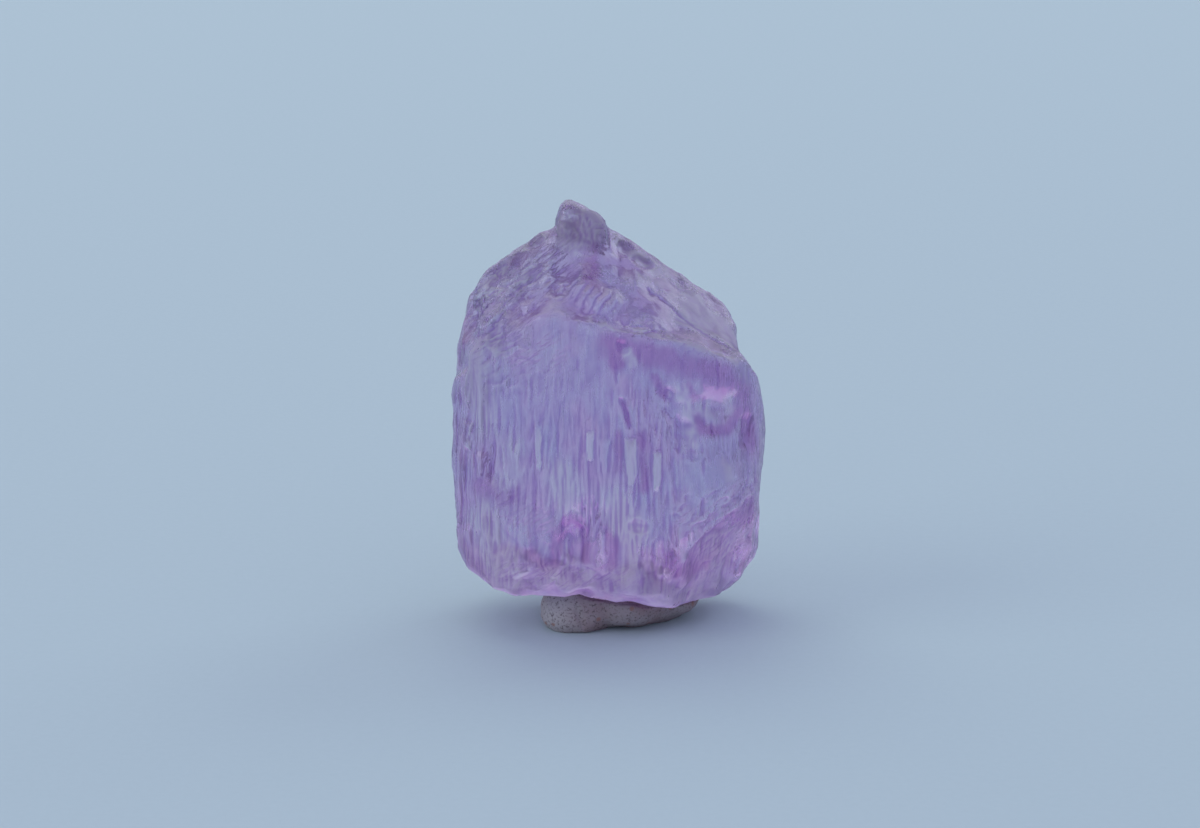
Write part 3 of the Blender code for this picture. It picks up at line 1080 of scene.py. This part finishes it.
    def pale_and_lit_stains(self) -> tuple[Stain, ...]:
        """Where the stone is milky and nearly white, and where highlights and sheen are painted pale, as on
        the horn, the chisel face, the bars and the base.

        Returns:
            The streaks and patches.
        """
        bench_edge = (
            (-0.4, -5.3, 20.4),
            (1.9, -5.0, 20.0),
            (3.6, -5.2, 19.6),
            (5.7, -5.4, 19.0),
            (7.8, -4.6, 17.9),
        )
        return (
            # Painted highlight: the horn is lit pale.
            Stain(1.4, 1.3, ((-1.5, 0.5, 26.0), (-2.2, 0.7, 24.9))),
            # Painted sheen on the chisel face.
            Stain(2.2, 0.9, ((5.6, -0.4, 20.2), (7.6, -1.0, 18.4))),
            Stain(0.6, 0.9, ((-5.3, 1.7, 24.0), (-4.2, 1.7, 24.3))),
            Stain(0.7, 0.8, ((-7.2, 1.0, 22.6), (-5.9, 0.2, 22.6))),
            Stain(0.5, 0.8, ((-6.6, -1.4, 21.0), (-4.6, -1.2, 22.4))),
            Stain(1.4, 0.6, ((-7.6, 0.0, 21.0), (-5.4, -0.8, 22.2))),
            Stain(0.5, 0.9, ((-7.6, -4.0, 19.4), (-6.9, -4.2, 18.6))),
            Stain(0.6, 1.0, ((0.6, 1.7, 24.0), (1.8, 1.4, 23.3), (2.9, 0.9, 22.5))),
            # Painted sheen on the chisel face.
            Stain(1.6, 0.75, ((5.4, 1.0, 20.8), (7.3, 0.4, 19.1), (8.0, -0.7, 18.0))),
            Stain(0.35, 0.9, ((4.3, -2.4, 19.9), (6.0, -2.8, 19.0))),
            Stain(0.35, 0.9, bench_edge),
            Stain(1.5, 0.8, ((-8.6, -3.4, 18.0), (-8.2, -4.0, 14.0))),
            Stain(1.2, 0.65, ((-6.0, -5.4, 12.4), (-6.4, -5.3, 10.6))),
            Stain(1.1, 0.95, ((-2.9, -6.1, 11.0), (-2.8, -6.1, 9.4))),
            Stain(1.0, 1.1, ((0.4, -6.1, 9.6), (0.7, -6.1, 8.4), (1.6, -6.1, 7.2))),
            Stain(0.6, 0.9, ((1.5, -6.0, 6.8), (1.4, -5.9, 5.4), (0.8, -6.0, 4.3))),
            Stain(1.5, 1.0, ((-8.0, -4.8, 7.6), (-7.2, -5.0, 6.0), (-6.4, -5.1, 4.6))),
            Stain(0.5, 0.8, ((4.4, -5.8, 16.6), (4.8, -5.8, 15.4), (5.1, -5.7, 12.9))),
            Stain(0.8, 0.6, ((5.6, -5.3, 15.2), (6.7, -4.9, 14.7), (7.4, -4.7, 15.6))),
            Stain(0.5, 0.6, ((7.2, -5.2, 11.6), (7.4, -5.0, 10.6))),
            # Painted highlights on the fronts of the bars.
            Stain(0.30, 1.6, ((1.4, -6.35, 13.2), (1.3, -6.35, 10.8))),
            Stain(0.27, 1.6, ((2.97, -6.35, 12.3), (2.97, -6.35, 10.3))),
            Stain(0.25, 1.4, ((-1.2, -6.2, 13.7), (-1.2, -6.2, 12.2))),
            Stain(0.22, 1.4, ((-4.4, -5.95, 13.9), (-4.4, -5.95, 11.6))),
            Stain(0.25, 1.4, ((-8.9, -3.6, 13.5), (-8.9, -3.6, 12.2))),
            Stain(0.4, 0.8, ((1.1, -5.5, 18.7), (1.4, -5.5, 18.1))),
            # Painted glints along the bottom rim, and painted light on the base lobe.
            Stain(0.4, 0.6, ((-3.6, -6.0, 4.3), (-1.2, -6.1, 4.6))),
            Stain(0.9, 0.4, ((2.4, -6.1, 3.4), (3.9, -5.6, 2.9), (5.6, -3.4, 2.4))),
        )

    def deep_stains(self) -> tuple[Stain, ...]:
        """Where the stone is tinted deep lilac or rosy, with painted shade under the shoulder and around a
        scar.

        Returns:
            The streaks and patches.
        """
        under_shoulder = (
            (0.2, -5.6, 19.2),
            (2.6, -5.7, 18.6),
            (5.2, -5.8, 17.9),
            (7.2, -5.4, 17.0),
            (8.5, -4.4, 15.6),
        )
        around_scar = (
            (-3.4, -5.9, 5.2),
            (-3.0, -6.0, 7.6),
            (-2.4, -6.0, 8.6),
            (-1.6, -6.0, 7.6),
            (-1.4, -5.9, 5.6),
        )
        return (
            Stain(0.6, 1.1, ((-1.3, 0.1, 24.3), (-1.1, -1.6, 23.0), (-1.2, -2.8, 22.5))),
            Stain(0.5, 0.9, ((-7.4, 0.9, 21.6), (-6.6, 1.0, 22.0))),
            Stain(0.6, 1.1, ((-9.3, 0.4, 17.2), (-9.1, -0.3, 18.4))),
            # Painted shade under the overhang of the bench.
            Stain(1.2, 0.75, under_shoulder),
            Stain(0.6, 1.2, ((0.4, -5.6, 19.3), (0.5, -5.5, 18.2))),
            Stain(0.8, 0.8, ((8.6, -3.9, 14.6), (8.8, -3.4, 12.6))),
            Stain(0.4, 0.8, ((2.8, -5.7, 17.3), (3.4, -5.8, 16.2))),
            Stain(0.3, 0.8, ((0.9, -5.9, 15.6), (1.2, -5.9, 14.4))),
            Stain(0.5, 0.8, ((4.9, -5.8, 16.9), (5.7, -5.4, 13.8), (7.2, -4.9, 13.6), (8.2, -4.3, 14.8))),
            Stain(1.2, 0.7, ((-8.0, -4.6, 9.8), (-6.2, -5.3, 9.6))),
            # Painted shade around the scar hollow.
            Stain(0.5, 1.0, around_scar),
            Stain(0.5, 0.9, ((-0.1, -6.1, 8.0), (0.2, -6.1, 6.8), (0.1, -6.1, 5.2), (-0.7, -6.1, 4.6))),
            Stain(1.0, 0.6, ((-5.0, -5.9, 5.6), (-3.8, -6.0, 4.4))),
            Stain(1.4, 1.1, ((5.2, -4.9, 5.0), (6.6, -4.1, 6.2), (8.2, -3.2, 7.6))),
            Stain(0.6, 1.0, ((3.9, -6.2, 5.7), (4.3, -5.8, 4.6))),
            Stain(0.5, 0.7, ((2.1, -6.1, 13.6), (2.2, -6.1, 10.2))),
            Stain(0.4, 0.6, ((0.6, -6.1, 13.6), (0.6, -6.1, 11.4))),
        )

    def splintered(self) -> tuple[Stain, ...]:
        """Where the surface is broken into crisp narrow splinters, which also get painted glints and
        painted shade between them.

        Returns:
            The streaks and patches.
        """
        return (
            Stain(2.2, 1.0, ((-7.4, 0.0, 21.0), (-5.6, -1.0, 21.6), (-4.4, -0.6, 22.8))),
            Stain(1.6, 0.8, ((-7.6, -3.6, 19.2), (-4.0, -4.6, 18.8))),
            Stain(1.0, 0.7, ((-3.2, -2.6, 22.2), (-2.2, -2.8, 22.0))),
            Stain(1.2, 0.7, ((5.0, -5.2, 8.4), (8.0, -3.8, 9.4))),
            Stain(1.3, 0.6, ((6.2, -4.2, 6.0), (7.8, -2.4, 6.2))),
            Stain(1.2, 0.4, ((-6.6, -5.2, 8.8), (-4.4, -5.8, 8.4))),
            Stain(0.8, 0.7, ((-6.2, -5.4, 4.6), (-4.4, -5.8, 4.2), (-1.6, -6.0, 4.2), (0.8, -6.0, 4.4))),
        )

    def build(self) -> Object:
        """Makes the crystal and puts it in place of its solid.

        Returns:
            The finished piece.
        """
        piece = merged_copy(self.name, self.node)
        remesh(piece, self.cell, self.soft_rounds)
        refine_front(piece, self.front_limit)
        carve(piece, self.overall_relief() + self.top_relief() + self.front_relief())
        places, facing = point_values(piece)
        shown = self.back_share + (1.0 - self.back_share) * front_share(facing)
        # The bulges paint light on crests and shade in creases, weaker on faces turned from the camera.
        fine = shown * bulges(piece, self.fine_rounds) / self.fine_height
        broad = shown * bulges(piece, self.broad_rounds) / self.broad_height
        note(piece, FINE_SHADING_NOTE, NEUTRAL + fine)
        note(piece, BROAD_SHADING_NOTE, NEUTRAL + broad)
        note(piece, FROST_NOTE, stained(places, (self.frosted_base, *self.pale_and_lit_stains())))
        note(piece, PALE_AND_LIT_NOTE, stained(places, self.pale_and_lit_stains()))
        note(piece, DEEP_NOTE, stained(places, self.deep_stains()))
        note(piece, SPLINTER_NOTE, stained(places, self.splintered()))
        shade_smooth(piece)
        self.dress(piece)
        return piece

    def dress(self, piece: Object) -> None:
        """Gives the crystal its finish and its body.

        Args:
            piece: The crystal.
        """
        piece.data.materials.clear()
        piece.data.materials.append(self.finish.material())
        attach(piece, "root")
        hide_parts(self.node)


@dataclass
class PuttyStand:
    """The lump of mounting putty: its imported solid, remeshed and pressed with folds."""

    node: str = "putty_stand"
    slot: str = "putty"
    name: str = "putty"
    cell: float = 0.1
    soft_rounds: int = 3
    # Painted light where the left side of the lump is lit.
    painted_light_patch: Stain = Stain(1.7, 1.0, ((-3.4, -3.2, 1.2),))
    finish: PuttyFinish = PuttyFinish()

    def reliefs(self) -> tuple[Relief, ...]:
        """The folds and the grain of the pressed lump.

        Returns:
            The reliefs.
        """
        return (
            Swells((1.4, 1.4, 1.4), 0.10),
            Swells((0.4, 0.4, 0.4), 0.04),
            Groove(((-2.0, -4.3, 1.8), (-1.6, -4.5, 0.2)), 0.3, 0.26),
            Groove(((1.9, -4.6, 1.6), (2.2, -4.8, 0.3)), 0.16, 0.1),
        )

    def build(self) -> Object:
        """Makes the putty and puts it in place of its solid.

        Returns:
            The finished piece.
        """
        piece = merged_copy(self.name, self.node)
        remesh(piece, self.cell, self.soft_rounds)
        carve(piece, self.reliefs())
        press_flat(piece)
        places, _ = point_values(piece)
        note(piece, PALE_AND_LIT_NOTE, stained(places, (self.painted_light_patch,)))
        shade_smooth(piece)
        self.dress(piece)
        return piece

    def dress(self, piece: Object) -> None:
        """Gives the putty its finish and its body.

        Args:
            piece: The putty.
        """
        piece.data.materials.clear()
        piece.data.materials.append(self.finish.material())
        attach(piece, "root")
        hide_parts(self.node)


# The studio.


@dataclass(frozen=True)
class Softbox:
    """A large soft lamp that shines at the crystal."""

    name: str
    place: Point
    width: float
    depth: float
    brightness: float
    colour: Colour = (1.0, 1.0, 1.0)

    def build(self, target: Vector) -> Object:
        """Hangs the lamp.

        Args:
            target: The point that it shines at.

        Returns:
            The lamp.
        """
        lamp = bpy.data.lights.new(self.name, "AREA")
        lamp.shape = "RECTANGLE"
        lamp.size = self.width
        lamp.size_y = self.depth
        lamp.energy = self.brightness * math.pi * self.width * self.depth
        lamp.color = self.colour
        thing = placed(self.name, lamp)
        thing.location = self.place
        thing.rotation_euler = (target - Vector(self.place)).to_track_quat("-Z", "Y").to_euler()
        return thing


@dataclass
class Studio:
    """The pale floor, the soft light and the camera."""

    target: Point = (-0.000583, 0.0, 0.01335)
    lit_point: Point = (0.0, 0.0, 0.012)
    camera_distance: float = 0.250
    near_limit: float = 0.001
    far_limit: float = 10.0
    lens: float = 117.975
    sensor: float = 36.0
    floor_width: float = 4.0
    sky: Colour = (0.43, 0.43, 0.61)
    sky_brightness: float = 1.0
    softboxes: tuple[Softbox, ...] = (
        Softbox("key", (-0.18, 0.45, 0.78), 0.75, 0.75, 0.95, (0.88, 1.0, 0.82)),
        Softbox("side", (0.60, 0.60, 0.52), 0.55, 0.55, 1.15, (0.86, 1.0, 0.96)),
        Softbox("wall", (-0.3, 1.3, 0.45), 2.0, 0.9, 0.3, (0.88, 1.0, 0.88)),
        Softbox("fill", (-0.66, -0.26, 0.42), 0.5, 0.5, 1.25, (0.92, 1.0, 0.92)),
    )
    finish: FloorFinish = FloorFinish()

    def build(self) -> None:
        """Sets up the whole studio."""
        self.floor()
        self.light()
        self.camera()

    def floor(self) -> Object:
        """Lays the floor, which isn't part of the object.

        Returns:
            The floor.
        """
        shape = bmesh.new()
        bmesh.ops.create_grid(shape, x_segments=1, y_segments=1, size=self.floor_width / 2)
        mesh = bpy.data.meshes.new("floor")
        shape.to_mesh(mesh)
        shape.free()
        mesh.materials.append(self.finish.material())
        piece = placed("floor", mesh)
        return piece

    def light(self) -> None:
        """Sets the even light of the room and hangs the softboxes."""
        world = bpy.data.worlds.new("room")
        world.use_nodes = True
        background = world.node_tree.nodes["Background"]
        background.inputs["Color"].default_value = (*self.sky, 1.0)
        background.inputs["Strength"].default_value = self.sky_brightness
        bpy.context.scene.world = world
        for softbox in self.softboxes:
            softbox.build(Vector(self.lit_point))

    def camera(self) -> Object:
        """Places the camera at the photograph's angle.

        Returns:
            The camera.
        """
        lens = bpy.data.cameras.new("camera")
        lens.lens = self.lens
        lens.sensor_width = self.sensor
        lens.clip_start = self.near_limit
        lens.clip_end = self.far_limit
        back = Vector((0.0, -math.cos(FRONT_RISE), math.sin(FRONT_RISE)))
        camera = placed("camera", lens)
        camera.location = Vector(self.target) + back * self.camera_distance
        camera.rotation_euler = (-back).to_track_quat("-Z", "Y").to_euler()
        bpy.context.scene.camera = camera
        return camera


def main() -> None:
    """Builds the studio and both pieces, and reports each."""
    logging.basicConfig(level=logging.INFO, format="%(name)s: %(message)s")
    bpy.context.scene.view_settings.view_transform = "Standard"
    Studio().build()
    for maker in (PuttyStand(), Crystal()):
        piece = maker.build()
        LOG.info("built %s with %d faces", piece.name, len(piece.data.polygons))


if __name__ == "__main__":
    main()
